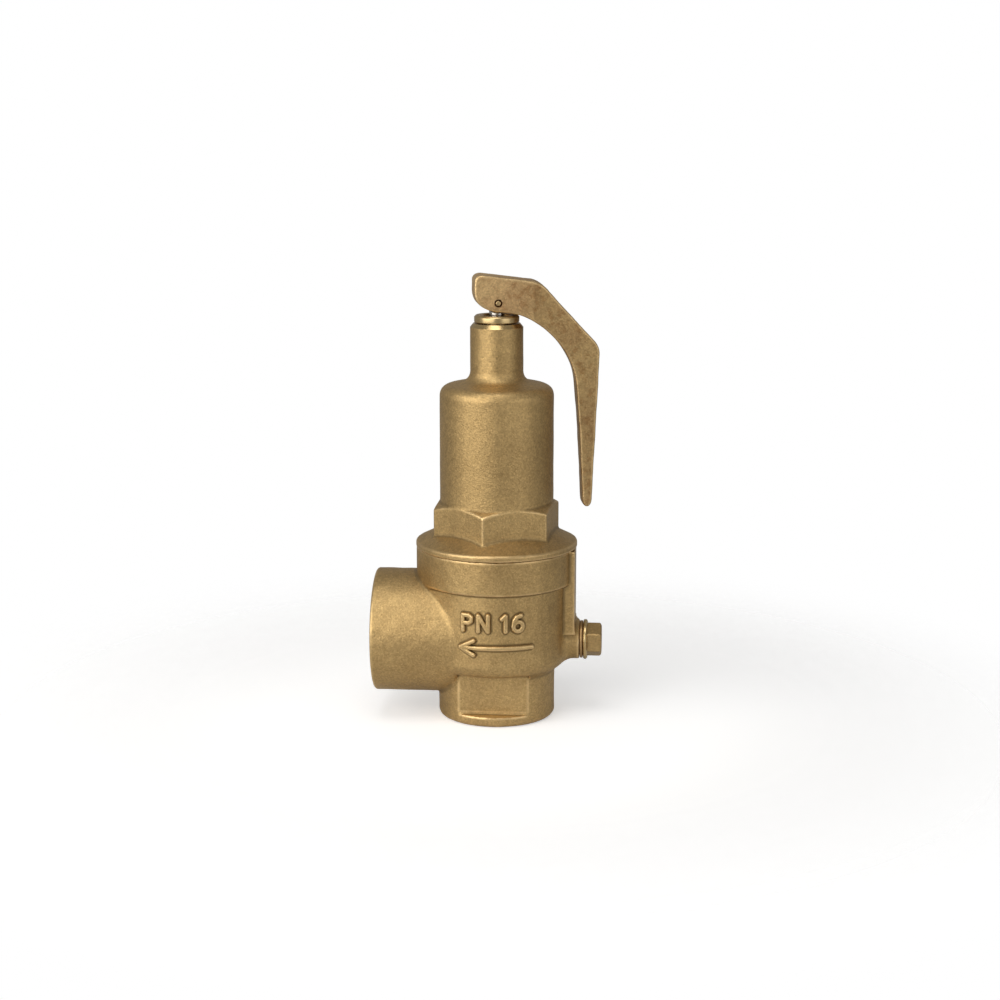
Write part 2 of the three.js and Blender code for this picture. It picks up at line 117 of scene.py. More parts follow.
def skin(name, form, low, high, cell, finish):
    """A closed mesh on the surface of a form: one point in each cell that the surface crosses,
    evened out along the surface and then set exactly on it."""
    axes = [np.arange(a - cell, b + 2 * cell, cell) for a, b in zip(low, high)]
    x, y, z = (v.astype(np.float32) for v in axes)
    f = np.stack([form(np.full((1, 1), a), y[:, None], z[None, :]) for a in x])
    inside = f < 0
    corners = [(i, j, k) for i in (0, 1) for j in (0, 1) for k in (0, 1)]
    size = [n - 1 for n in f.shape]
    part = {c: tuple(slice(o, o + n) for o, n in zip(c, size)) for c in corners}
    count = sum(inside[part[c]].astype(np.uint8) for c in corners)
    cells = np.argwhere((count > 0) & (count < 8))
    number = np.full(size, -1, np.int64)
    number[tuple(cells.T)] = np.arange(len(cells))
    value = {c: f[tuple((cells + c).T)] for c in corners}
    total = np.zeros((len(cells), 3))
    hits = np.zeros(len(cells))
    for c in corners:
        for axis in range(3):
            if c[axis]:
                continue
            d = tuple(v + (n == axis) for n, v in enumerate(c))
            a, b = value[c], value[d]
            crossed = (a < 0) != (b < 0)
            point = np.tile(np.array(c, float), (len(cells), 1))
            point[:, axis] = np.where(crossed, a / np.where(crossed, a - b, 1), 0)
            total += point * crossed[:, None]
            hits += crossed
    start = np.array([v[0] for v in axes])
    p = start + (cells + total / hits[:, None]) * cell
    quads = []
    for axis in range(3):
        one, two = [n for n in range(3) if n != axis]
        lower = [slice(None)] * 3
        upper = [slice(None)] * 3
        lower[axis], upper[axis] = slice(None, -1), slice(1, None)
        a, b = inside[tuple(lower)], inside[tuple(upper)]
        edges = np.argwhere(a != b)
        leaving = a[tuple(edges.T)]
        around = []
        for du, dv in ((0, 0), (1, 0), (1, 1), (0, 1)):
            at = edges.copy()
            at[:, one] -= du
            at[:, two] -= dv
            around.append(number[tuple(at.T)])
        quad = np.stack(around, 1)
        flip = leaving if axis != 1 else ~leaving
        quad[~flip] = quad[~flip][:, ::-1]
        quads.append(quad)
    quads = np.concatenate(quads)
    pairs = np.concatenate([quads[:, [n, (n + 1) % 4]] for n in range(4)])
    for turn_no in range(3):
        if turn_no:
            near = np.zeros_like(p)
            n = np.zeros(len(p))
            for a, b in (pairs.T, pairs[:, ::-1].T):
                for axis in range(3):
                    near[:, axis] += np.bincount(a, p[b, axis], len(p))
                n += np.bincount(a, minlength=len(p))
            p = 0.4 * p + 0.6 * near / n[:, None]
        for _ in range(2):
            g = towards(form, p, cell * 0.25)
            p = p - g * np.clip(form(*p.T), -cell, cell)[:, None]
    mesh = bpy.data.meshes.new(name)
    mesh.from_pydata((p * MM).tolist(), [], quads.tolist())
    piece = bpy.data.objects.new(name, mesh)
    bpy.context.scene.collection.objects.link(piece)
    mesh.materials.append(finish)
    if volume(mesh) < 0:
        mesh.flip_normals()
    return piece


def volume(mesh):
    mesh.calc_loop_triangles()
    co = np.empty(len(mesh.vertices) * 3)
    mesh.vertices.foreach_get("co", co)
    tri = np.empty(len(mesh.loop_triangles) * 3, np.int32)
    mesh.loop_triangles.foreach_get("vertices", tri)
    a, b, c = co.reshape(-1, 3)[tri.reshape(-1, 3)].transpose(1, 0, 2)
    return float(np.einsum("ij,ij->i", a, np.cross(b, c)).sum() / 6)


def settle(piece):
    """Turns what the modifiers make into the piece's own plain mesh."""
    depsgraph = bpy.context.evaluated_depsgraph_get()
    mesh = bpy.data.meshes.new_from_object(piece.evaluated_get(depsgraph))
    piece.modifiers.clear()
    piece.data = mesh
    return piece


def work(piece, tool, way="DIFFERENCE"):
    """Cuts a tool out of a piece, or joins it on. The new faces keep the tool's finish."""
    change = piece.modifiers.new("work", "BOOLEAN")
    change.operation = way
    change.solver = "MANIFOLD"
    change.material_mode = "TRANSFER"
    change.object = tool
    settle(piece)
    bpy.data.objects.remove(tool)
    return piece


def smooth(piece, crease=38):
    """Shades a piece smooth, but sharp at its creases and round every machined face."""
    piece.data.shade_smooth()
    piece.data.set_sharp_from_angle(angle=math.radians(crease))
    if len(piece.data.materials) > 1:
        mesh = bmesh.new()
        mesh.from_mesh(piece.data)
        for edge in mesh.edges:
            if len({face.material_index for face in edge.link_faces}) > 1:
                edge.smooth = False
        mesh.to_mesh(piece.data)
        mesh.free()
    return piece


def store_wear_and_shade(piece, form, reach, painted_light=None):
    """Stores how the surface bends at each point: above 0 on outer edges, which the materials rub brighter,
    and below 0 in corners, which they darken as painted shade. An optional function of the position adds to
    this: above 0 it paints shade there too, below 0 it takes painted shade away and lightens."""
    co = np.empty(len(piece.data.vertices) * 3)
    piece.data.vertices.foreach_get("co", co)
    p = co.reshape(-1, 3) / MM
    bend = -6 * form(*p.T)
    for axis in range(3):
        d = np.zeros(3)
        d[axis] = reach
        bend = bend + form(*(p + d).T) + form(*(p - d).T)
    bend = bend / reach * 0.7
    if painted_light:
        bend = bend - painted_light(*p.T)
    bend = np.clip(bend, -1, 1).astype(np.float32)
    piece.data.attributes.new("wear_and_shade", "FLOAT", "POINT").data.foreach_set("value", bend)


def wire(tree, kind, **values):
    """A node with its settings, and with its inputs set or joined by name or number."""
    node = tree.nodes.new(kind)
    for key, value in values.items():
        if key != "inputs":
            setattr(node, key, value)
    for key, value in values.get("inputs", {}).items():
        if isinstance(value, bpy.types.NodeSocket):
            tree.links.new(value, node.inputs[key])
        else:
            node.inputs[key].default_value = value
    return node


def ramp(tree, fac, stops):
    node = wire(tree, "ShaderNodeValToRGB", inputs={"Fac": fac})
    while len(node.color_ramp.elements) < len(stops):
        node.color_ramp.elements.new(0.5)
    for element, (at, colour) in zip(node.color_ramp.elements, stops):
        element.position = at
        element.color = (*colour, 1) if len(colour) == 3 else colour
    return node.outputs["Color"]


def mixed(tree, way, fac, a, b):
    node = wire(tree, "ShaderNodeMix", data_type="RGBA", blend_type=way)
    for number, value in ((0, fac), (6, a), (7, b)):
        if isinstance(value, bpy.types.NodeSocket):
            tree.links.new(value, node.inputs[number])
        else:
            node.inputs[number].default_value = value if number == 0 else (*value, 1)
    return node.outputs[2]


def noise(tree, place, scale, detail, roughness):
    return wire(tree, "ShaderNodeTexNoise", inputs={"Vector": place, "Scale": scale, "Detail": detail,
                                                    "Roughness": roughness}).outputs["Fac"]


def remap(tree, value, low, high, to_low, to_high):
    inputs = {0: value, 1: low, 2: high, 3: to_low, 4: to_high}
    return wire(tree, "ShaderNodeMapRange", inputs=inputs).outputs[0]


def calculator(tree):
    """A short way to write a tree's sums."""
    def maths(operation, a, b=0.0, clamp=False):
        return wire(tree, "ShaderNodeMath", operation=operation, use_clamp=clamp,
                    inputs={0: a, 1: b}).outputs[0]
    return maths


def sand_cast(name, gold, brown, tint, rough, mottle=0.3):
    """Blasted sand casting: a fine bright grain over a soft mottle, rubbed brighter on the edges, and
    darkened brown in the corners and under ledges as painted shade with grime."""
    material = bpy.data.materials.new(name)
    material.use_nodes = True
    tree = material.node_tree
    maths = calculator(tree)
    shader = tree.nodes["Principled BSDF"]
    place = wire(tree, "ShaderNodeTexCoord").outputs["Object"]
    broad = noise(tree, place, 30, 3, 0.5)
    patch = noise(tree, place, 260, 5, 0.65)
    grain = noise(tree, place, 1000, 3, 0.65)
    facet = wire(tree, "ShaderNodeTexVoronoi", inputs={"Vector": place, "Scale": 1300})
    wear_and_shade = wire(tree, "ShaderNodeAttribute", attribute_name="wear_and_shade").outputs["Fac"]

    colour = ramp(tree, broad, [(0.34, brown), (0.66, gold)])
    stain = ramp(tree, patch, [(0.36, tint), (0.52, (1, 1, 1)), (0.7, (1.1, 1.09, 1.05))])
    colour = mixed(tree, "MULTIPLY", mottle, colour, stain)
    # Lighter and paler where the pale attribute is set: on the lever, a painted highlight with a paler tone
    # on its head and lower arm.
    pale = wire(tree, "ShaderNodeAttribute", attribute_name="pale").outputs["Fac"]
    colour = mixed(tree, "MULTIPLY", pale, colour, (1.5, 1.56, 1.7))
    glint = ramp(tree, facet.outputs["Color"], [(0.0, (0.72, 0.71, 0.69)), (0.55, (1, 1, 1)),
                                                (1.0, (1.32, 1.32, 1.3))])
    colour = mixed(tree, "MULTIPLY", 0.72, colour, glint)
    # Brighter on outer edges: rubbed wear, plus a painted highlight along the side edges of the body's flats.
    lightened = remap(tree, wear_and_shade, 0.12, 0.7, 0.0, 1.0)
    broken = maths("MULTIPLY", lightened, patch)
    broken = maths("MULTIPLY", broken, 1.5)
    bright = tuple(min(1, v * 1.35 + 0.05) for v in gold)
    colour = mixed(tree, "MIX", broken, colour, bright)
    # Painted shade: dark brown in corners and under ledges, where the stored value is below 0.
    corner = remap(tree, wear_and_shade, -0.1, -0.6, 0.0, 0.85)
    shade_brown = tuple(v * 0.42 for v in brown)
    colour = mixed(tree, "MIX", corner, colour, shade_brown)
    tree.links.new(colour, shader.inputs["Base Color"])

    matt = remap(tree, patch, 0.3, 0.7, rough - 0.03, rough + 0.04)
    polish = maths("MULTIPLY", broken, -0.14)
    even = maths("ADD", matt, polish)
    tree.links.new(even, shader.inputs["Roughness"])
    waves = wire(tree, "ShaderNodeBump", inputs={"Strength": 0.4, "Distance": 0.0002, "Height": patch})
    fine = wire(tree, "ShaderNodeBump", inputs={"Strength": 0.9, "Distance": 0.0002, "Height": grain,
                                                "Normal": waves.outputs["Normal"]})
    tree.links.new(fine.outputs["Normal"], shader.inputs["Normal"])
    shader.inputs["Metallic"].default_value = 0.88
    return material


def turned_metal(name, colour, stain, rough, axis="Z", centre=0.0, marks=0.00004):
    """Metal turned on a lathe: fine uneven rings round its axis, which lies along Z, or along X
    at a height."""
    material = bpy.data.materials.new(name)
    material.use_nodes = True
    tree = material.node_tree
    maths = calculator(tree)
    shader = tree.nodes["Principled BSDF"]
    place = wire(tree, "ShaderNodeTexCoord").outputs["Object"]
    centred = wire(tree, "ShaderNodeMapping", inputs={0: place, 1: (0, 0, -centre * MM)}).outputs[0]
    split = wire(tree, "ShaderNodeSeparateXYZ", inputs={0: centred})
    one, two, along = ("Y", "Z", "X") if axis == "X" else ("X", "Y", "Z")
    flat = wire(tree, "ShaderNodeCombineXYZ", inputs={0: split.outputs[one],
                                                      1: split.outputs[two]}).outputs[0]
    radius = wire(tree, "ShaderNodeVectorMath", operation="LENGTH", inputs={0: flat}).outputs["Value"]
    both = maths("ADD", radius, split.outputs[along])
    rings = wire(tree, "ShaderNodeTexNoise", noise_dimensions="1D",
                 inputs={"W": both, "Scale": 3600, "Detail": 2})
    soft = noise(tree, place, 140, 4, 0.6)
    tone = ramp(tree, soft, [(0.3, stain), (0.55, colour)])
    line = ramp(tree, rings.outputs["Fac"], [(0.3, (0.86, 0.86, 0.86)), (0.7, (1.08, 1.08, 1.08))])
    tree.links.new(mixed(tree, "MULTIPLY", 0.7, tone, line), shader.inputs["Base Color"])
    matt = remap(tree, soft, 0.3, 0.7, rough + 0.06, rough - 0.03)
    tree.links.new(matt, shader.inputs["Roughness"])
    bump = wire(tree, "ShaderNodeBump", inputs={"Strength": 0.5, "Distance": marks,
                                                "Height": rings.outputs["Fac"]})
    tree.links.new(bump.outputs["Normal"], shader.inputs["Normal"])
    shader.inputs["Metallic"].default_value = 1.0
    return material


def rounded(corners):
    """A section's outline: each corner is (radius, height) or (radius, height, rounding)."""
    points = []
    for n, corner in enumerate(corners):
        at = np.array(corner[:2], float)
        if len(corner) == 2:
            points.append(at)
            continue
        before = np.array(corners[n - 1][:2], float) - at
        after = np.array(corners[(n + 1) % len(corners)][:2], float) - at
        a, b = before / np.linalg.norm(before), after / np.linalg.norm(after)
        half = math.acos(np.clip(a @ b, -1, 1)) / 2
        reach = corner[2] / math.tan(half)
        middle = at + (a + b) / np.linalg.norm(a + b) * corner[2] / math.sin(half)
        first, last = at + a * reach - middle, at + b * reach - middle
        sweep = math.atan2(first[0] * last[1] - first[1] * last[0], first @ last)
        steps = max(2, round(abs(sweep) / math.radians(18)))
        for s in range(steps + 1):
            c, d = math.cos(sweep * s / steps), math.sin(sweep * s / steps)
            points.append(middle + np.array([c * first[0] - d * first[1], d * first[0] + c * first[1]]))
    return points


def turned(name, corners, finish, facets=128):
    """A piece turned about Z from the outline of half its section."""
    points = rounded(corners)
    angle = np.linspace(0, 2 * math.pi, facets, endpoint=False)
    verts, rings = [], []
    for r, z in points:
        if r < 1e-6:
            rings.append([len(verts)] * facets)
            verts.append((0, 0, z * MM))
        else:
            rings.append(list(range(len(verts), len(verts) + facets)))
            verts += [(r * MM * c, r * MM * s, z * MM) for c, s in zip(np.cos(angle), np.sin(angle))]
    faces = []
    for n, low in enumerate(rings):
        high = rings[(n + 1) % len(rings)]
        if low[0] == low[1] and high[0] == high[1]:
            continue
        for k in range(facets):
            m = (k + 1) % facets
            face = list(dict.fromkeys((low[k], low[m], high[m], high[k])))
            faces.append(face)
    mesh = bpy.data.meshes.new(name)
    mesh.from_pydata(verts, [], faces)
    mesh.materials.append(finish)
    piece = bpy.data.objects.new(name, mesh)
    bpy.context.scene.collection.objects.link(piece)
    if volume(mesh) < 0:
        mesh.flip_normals()
    return smooth(piece)


def lie(piece, turn_by=0, height=0.0, axis="X"):
    """Lays a piece that was made along Z along X or Y instead, at a height."""
    way = Matrix.Rotation(math.radians(turn_by), 4, "Y" if axis == "X" else "X")
    piece.data.transform(Matrix.Translation((0, 0, height * MM)) @ way)
    return piece


def made_by(name, tree, sizes):
    """A piece made by a node group from its inputs, left as a plain mesh."""
    piece = bpy.data.objects.new(name, bpy.data.meshes.new(name))
    bpy.context.scene.collection.objects.link(piece)
    change = piece.modifiers.new(name, "NODES")
    change.node_group = tree
    for item in tree.interface.items_tree:
        if item.in_out == "INPUT":
            change[item.identifier] = sizes[item.name]
    settle(piece)
    return smooth(piece, 60)


def helical(name, major, depth, pitch, length, low, finish):
    """A rod with a screw thread on it, or the tap that cuts one. Built with Geometry Nodes."""
    tree = bpy.data.node_groups.get("screw_thread") or thread_tree()
    return made_by(name, tree, {"Major radius": major * MM, "Depth": depth * MM, "Pitch": pitch * MM,
                              "Length": length * MM, "Low end": low * MM,
                              "Rings": round(length / pitch * 10), "Finish": finish})


def node_group(name, numbers, whole=()):
    """An empty node group with named inputs: numbers, whole numbers and a material."""
    tree = bpy.data.node_groups.new(name, "GeometryNodeTree")
    tree.interface.new_socket("Geometry", in_out="OUTPUT", socket_type="NodeSocketGeometry")
    kinds = [(n, "Float") for n in numbers] + [(n, "Int") for n in whole] + [("Finish", "Material")]
    for label, kind in kinds:
        tree.interface.new_socket(label, in_out="INPUT", socket_type="NodeSocket" + kind)
    return tree


def ended(tree, geometry, finish):
    """Ends a node group: real geometry, in its material."""
    real = wire(tree, "GeometryNodeRealizeInstances", inputs={0: geometry}).outputs[0]
    done = wire(tree, "GeometryNodeSetMaterial", inputs={"Geometry": real, "Material": finish})
    tree.links.new(done.outputs[0], tree.nodes.new("NodeGroupOutput").inputs[0])
    return tree


def thread_tree():
    tree = node_group("screw_thread", ("Major radius", "Depth", "Pitch", "Length", "Low end"), ("Rings",))
    given = tree.nodes.new("NodeGroupInput").outputs

    maths = calculator(tree)
    rod = wire(tree, "GeometryNodeMeshCylinder", inputs={"Vertices": 96, "Side Segments": given["Rings"],
                                                         "Radius": given["Major radius"],
                                                         "Depth": given["Length"]})
    point = wire(tree, "GeometryNodeInputPosition").outputs[0]
    place = wire(tree, "ShaderNodeSeparateXYZ", inputs={0: point}).outputs
    angle = maths("DIVIDE", maths("ARCTAN2", place["Y"], place["X"]), 2 * math.pi)
    turns = maths("SUBTRACT", maths("DIVIDE", place["Z"], given["Pitch"]), angle)
    saw = maths("MULTIPLY", maths("ABSOLUTE", maths("SUBTRACT", maths("FRACT", turns), 0.5)), 2.0)
    flank = maths("SMOOTH_MIN", maths("MULTIPLY", maths("SUBTRACT", saw, 0.08), 1.2, clamp=True), 1.0)
    depth = maths("MULTIPLY", flank, given["Depth"])
    out = wire(tree, "ShaderNodeCombineXYZ", inputs={0: place["X"], 1: place["Y"]}).outputs[0]
    out = wire(tree, "ShaderNodeVectorMath", operation="NORMALIZE", inputs={0: out}).outputs[0]
    shift = wire(tree, "ShaderNodeVectorMath", operation="SCALE", inputs={0: out})
    tree.links.new(maths("MULTIPLY", depth, -1.0), shift.inputs["Scale"])
    moved = wire(tree, "GeometryNodeSetPosition", inputs={"Geometry": rod.outputs["Mesh"],
                                                          "Offset": shift.outputs[0]})
    up = maths("ADD", given["Low end"], maths("DIVIDE", given["Length"], 2.0))
    lift = wire(tree, "ShaderNodeCombineXYZ", inputs={2: up}).outputs[0]
    placed = wire(tree, "GeometryNodeTransform", inputs={"Geometry": moved.outputs[0], "Translation": lift})
    return ended(tree, placed.outputs[0], given["Finish"])


cast_bronze = sand_cast("cast_bronze", (0.51, 0.350, 0.152), (0.43, 0.290, 0.124), (0.78, 0.74, 0.66), 0.46)
cut_upright = turned_metal("cut_bronze_upright", (0.62, 0.45, 0.21), (0.5, 0.34, 0.15), 0.3)
cut_outlet = turned_metal("cut_bronze_outlet", (0.62, 0.45, 0.21), (0.5, 0.34, 0.15), 0.3, "X", 45)

FOOT_R, BOWL_R, RIM_R, OUTLET_R = 31.0, 37.8, 40.8, 32.8
RIM_LOW, BODY_TOP, OUTLET_Z, OUTLET_END = 73.5, 91.8, 45.0, -64.7
DRAIN_Z, DRAIN_FACE, DRAIN_R = 41.2, 44.5, 10.4
FLAT_AT, FLAT_HALF, FLAT_MIDDLE, FLAT_TALL = 25, 19, 16.9, 11.3
CUTTER = 20  # half the depth of the block that cuts the flats
SWELL_X, SWELL_R = -12.7, 30
BODY_CELL, MARKS_CELL = 0.76, 0.3


def body_form(x, y, z):
    across = np.hypot(x, y) + hand_rammed(x, y, z, 0.12)
    foot = drum(across, z, FOOT_R, 0, 40, 2.8)
    bowl = drum(across, z, BOWL_R, 24, 84, 2)
    bowl = trim(bowl, slope(across, -z, (FOOT_R, -25.4), 50.5), 3)
    rim = drum(across, z, RIM_R, RIM_LOW, BODY_TOP, 0.9)
    flats = block(x, np.abs(y), z, (0, FLAT_AT + CUTTER, FLAT_MIDDLE),
                  (FLAT_HALF, CUTTER, FLAT_TALL), 0.5)
    body = trim(meld(foot, bowl, 0.9), -flats, 0.6)
    body = meld(body, rim, 0.8)
    pad = block(x, y, z, (21, 0, 69), (21.3, 11.5, 22.4), 0.5)
    body = meld(body, pad, 1.0)
    swell = drum(np.hypot(x - SWELL_X, y), z, SWELL_R, 60, 93, 1)
    body = meld(body, swell, 1.5)
    pipe = drum(np.hypot(y, z - OUTLET_Z) + hand_rammed(x, z, y, 0.1), x, OUTLET_R, OUTLET_END, -19.5, 1.4)
    body = meld(body, pipe, 1.6)
    boss = drum(np.hypot(y, z - DRAIN_Z), x, DRAIN_R, 0, DRAIN_FACE, 0.8)
    body = meld(body, boss, 4)
    return trim(body, z - BODY_TOP, 0.6)


body = skin("body_casting_skin", body_form, (-65.4, -43, 0), (45.5, 43, 92), BODY_CELL, cast_bronze)


# The cast marks: a pressure class, and an arrow for the flow. They stand proud of the bowl.
def stroke_map(u, v):
    """Distance from the middle of the nearest stroke, on the bowl unrolled flat."""
    ring = [(math.cos(a), math.sin(a)) for a in np.linspace(0, 2 * math.pi, 13)]
    strokes = []
    strokes.append([(-16, 0), (-16, 8.2), (-12.8, 8.2), (-11.3, 7.2), (-11.3, 5.2), (-12.8, 4.1),
                    (-16, 4.1)])  # P
    strokes.append([(-7.6, 0), (-7.6, 8.2), (-2.6, 0), (-2.6, 8.2)])  # N
    strokes.append([(4.6, 6.6), (6.4, 8.2), (6.4, 0)])  # 1
    strokes.append([(12.9 + 2.5 * c, 2.5 + 2.5 * s) for c, s in ring])  # 6
    strokes.append([(10.4, 2.6), (10.9, 5.6), (12.2, 7.4), (14.4, 8.2)])
    strokes.append([(-16.4, -9.2), (20.5, -9.2)])  # arrow
    strokes.append([(-10.2, -5.4), (-17.4, -9.2), (-10.2, -13.0)])
    near = np.full(np.broadcast(u, v).shape, 99.0)
    for stroke in strokes:
        for (a, b), (c, d) in zip(stroke[:-1], stroke[1:]):
            ex, ey = c - a, d - b
            t = np.clip(((u - a) * ex + (v - b) * ey) / (ex * ex + ey * ey), 0, 1)
            near = np.minimum(near, np.hypot(u - a - t * ex, v - b - t * ey))
    return near


MARKS_Z, MARKS_TURN = 54.6, math.radians(1.5)
STROKE_HALF, DRAFT, PROUD = 1.45, 0.3, 1.7


def marks_form(x, y, z):
    across = np.hypot(x, y)
    u = (np.arctan2(x, -y) - MARKS_TURN) * BOWL_R
    side = stroke_map(u, z - MARKS_Z) - STROKE_HALF + DRAFT * (across - BOWL_R)
    face = np.abs(across - BOWL_R) - PROUD
    return trim(side, face, 0.6)


marks = skin("cast_marks", marks_form, (-22, -40.5, 38), (25, -26, 66), MARKS_CELL, cast_bronze)
work(body, marks, "UNION")


def sockets(piece):
    """Cuts the foot face, the two threaded sockets, the chamber with plain bores where the seat and the
    bonnet screw in, the passage, the pad's face and the drain hole.
    """
    work(piece, turned("foot_face", [(0, -5), (40, -5), (40, 0.25), (0, 0.25)], cut_upright))
    work(piece, turned("chamber", [(0, 21), (18.3, 21), (18.3, 31, 0.5), (26, 31, 1), (31, 36, 2), (31, 70),
                                   (33.5, 70), (33.5, 90.6), (34.6, 92), (34.6, 95), (0, 95)], cut_upright))
    work(piece, turned("inlet_bore", [(0, -1), (22.3, -1), (22.3, 0), (19.6, 2.2), (19.6, 20), (18.3, 21.4),
                                      (0, 21.4)], cut_upright))
    work(piece, helical("inlet_tap", 20.95, 1.48, 2.309, 19.5, -1, cut_upright))
    work(piece, lie(turned("outlet_face", [(0, 64.5), (40, 64.5), (40, 70), (0, 70)], cut_outlet), -90,
                    OUTLET_Z))
    work(piece, lie(turned("outlet_bore", [(0, 30), (18, 30), (18, 42), (22.4, 43), (22.4, 62.2),
                                           (25.2, 64.8), (25.2, 66), (0, 66)], cut_outlet), -90, OUTLET_Z))
    work(piece, lie(helical("outlet_tap", 23.9, 1.48, 2.309, 22, 43.5, cut_outlet), -90, OUTLET_Z))
    passage = turned("passage", [(0, 15), (18, 15), (18, 45), (0, 45)], cast_bronze)
    work(piece, lie(passage, -90, OUTLET_Z + 4.5))
    milled = lie(turned("pad_cutter", [(0, 42.0), (32, 42.0), (32, 48), (0, 48)], cut_outlet), 90, 79)
    work(piece, work(milled, turned("cutter_stop", [(0, 30), (60, 30), (60, 52.5), (0, 52.5)], cut_outlet)))
    work(piece, lie(turned("drain_hole", [(0, 20), (6.2, 20), (6.2, 43.6), (7.2, 45), (0, 45)], cut_outlet),
                    90, DRAIN_Z))


sockets(body)
smooth(body)


def ledge_shade_and_edge_light(x, y, z):
    """Painted shadow lines under the rim and above the spanner flats. The flats' side borders get a painted
    highlight with their wear, and the ledge below the flats loses part of its painted corner shade.
    """
    across = np.hypot(x, y)
    # Painted shadow under the rim's lower edge, and on the top of the flats below the bowl's overhang.
    rim = np.clip(1 - np.abs(z - RIM_LOW + 0.3) / 1.3, 0, 1) * (across < RIM_R - 1)
    on_flat = (np.abs(y) < 25.6) & (np.abs(y) > 23) & (np.abs(x) < FLAT_HALF) & (z < 28.6)
    top = np.clip((z - 25.4) / 2, 0, 1) * on_flat
    # Painted highlight, with wear, along the flats' side edges; less painted corner shade on the ledge below
    # the flats.
    flat_edge_highlight = np.clip(1 - np.abs(np.abs(x) - 18.4) / 0.9, 0, 1) * on_flat * (z > 6.5) * (z < 26)
    ledge_shade_lessened = (z > 4.4) & (z < 7.4) & (np.abs(x) < 18) & (across < FOOT_R - 0.5)
    return 0.55 * rim + 0.5 * top - 0.5 * flat_edge_highlight - 0.6 * ledge_shade_lessened


# Rubbed edges, painted shade in corners, and the painted shadow lines and highlights above.
store_wear_and_shade(body, lambda x, y, z: np.minimum(body_form(x, y, z), marks_form(x, y, z)), 1.2, ledge_shade_and_edge_light)
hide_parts("body_casting")
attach(body, "housing")


# ---- Seat and its copper gasket -------------------------------------------------------
# A turned nozzle screwed into the bridge above the inlet. Its narrow lip is the seat.
seat_bronze = turned_metal("seat_bronze", (0.66, 0.5, 0.25), (0.55, 0.39, 0.18), 0.22)
annealed_copper = turned_metal("annealed_copper", (0.55, 0.26, 0.14), (0.4, 0.17, 0.09), 0.34)
seat = turned("seat_nozzle", [(16, 22.5, 0.6), (17.9, 22.5, 0.5), (17.9, 32.6), (22, 32.6, 0.5),
                              (22, 36, 0.6), (19.5, 37, 0.5), (18.4, 39.4), (18, 40, 0.1), (16, 40, 0.3)],
              seat_bronze)
gasket = turned("seat_washer", [(18.3, 31.3, 0.2), (21.6, 31.3, 0.2), (21.6, 32.3, 0.2), (18.3, 32.3, 0.2)],
                annealed_copper)
for piece, node, finish in ((seat, "seat_ring", "machined_brass"), (gasket, "seat_gasket", "copper")):
    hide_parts(node)
    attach(piece, "housing")


# ---- Guide plate ----------------------------------------------------------------------
# A ring clamped on the step in the chamber, with a rubber ring in its bore. The hollow
# piston of the disc carrier slides in it.
black_rubber = bpy.data.materials.new("black_rubber")
black_rubber.use_nodes = True
tree = black_rubber.node_tree
shader = tree.nodes["Principled BSDF"]
place = wire(tree, "ShaderNodeTexCoord").outputs["Object"]
bloom = noise(tree, place, 400, 4, 0.5)
tone = ramp(tree, bloom, [(0.35, (0.016, 0.016, 0.017)), (0.7, (0.035, 0.034, 0.033))])
tree.links.new(tone, shader.inputs["Base Color"])
bump = wire(tree, "ShaderNodeBump", inputs={"Strength": 0.3, "Distance": 0.00005, "Height": bloom})
tree.links.new(bump.outputs["Normal"], shader.inputs["Normal"])
shader.inputs["Roughness"].default_value = 0.62

guide = turned("guide_ring", [(17.8, 70.3, 0.3), (33.2, 70.3, 0.3), (33.2, 74.7, 0.3), (24, 74.7, 0.5),
                              (22, 76.8, 0.5), (17.8, 76.8, 0.3), (17.8, 74.9), (19.8, 74.9), (19.8, 72.3),
                              (17.8, 72.3)], seat_bronze)


def rubber_ring(name, middle, section, height):
    corners = [(middle + section * math.cos(a), height + section * math.sin(a))
               for a in np.linspace(0, 2 * math.pi, 17)[:-1]]
    return turned(name, corners, black_rubber, 96)


guide_ring = rubber_ring("guide_rubber", 18.7, 0.95, 73.6)
bonnet_ring = rubber_ring("bonnet_rubber", 32.5, 0.9, 89.6)
for piece, node, finish in ((guide, "guide_plate", "machined_brass"), (guide_ring, "guide_seal", "rubber"),
                            (bonnet_ring, "bonnet_seal", "rubber")):
    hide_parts(node)
    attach(piece, "housing")


# ---- Disc -----------------------------------------------------------------------------
# The carrier holds a rubber disc over the seat with a steel retainer and a screw. Its
# hollow piston takes the foot of the spindle and carries the lower spring plate.
stainless = turned_metal("stainless_steel", (0.6, 0.59, 0.57), (0.5, 0.49, 0.47), 0.2)
carrier = turned("carrier", [(0, 56.3), (4.3, 56.3), (4.3, 44.3), (20, 44.3), (20, 41.7, 0.3),
                             (22.5, 41.7, 0.4), (22.5, 49.3, 0.8), (17.5, 52.9, 1.5), (17.5, 88, 0.5),
                             (10, 88, 0.4), (10, 82.9), (11.2, 82.9), (11.2, 80.8), (10, 80.8), (10, 61, 1),
                             (0, 61)], seat_bronze)
rubber_disc = turned("rubber_disc", [(4.5, 40.3, 0.2), (19.6, 40.3, 0.3), (19.6, 44, 0.3), (4.5, 44, 0.2)],
                     black_rubber)
retainer = turned("retainer", [(4.5, 38, 0.2), (13.6, 38, 0.4), (14.4, 38.8, 0.3), (14.4, 40, 0.2),
                               (4.5, 40)], stainless)


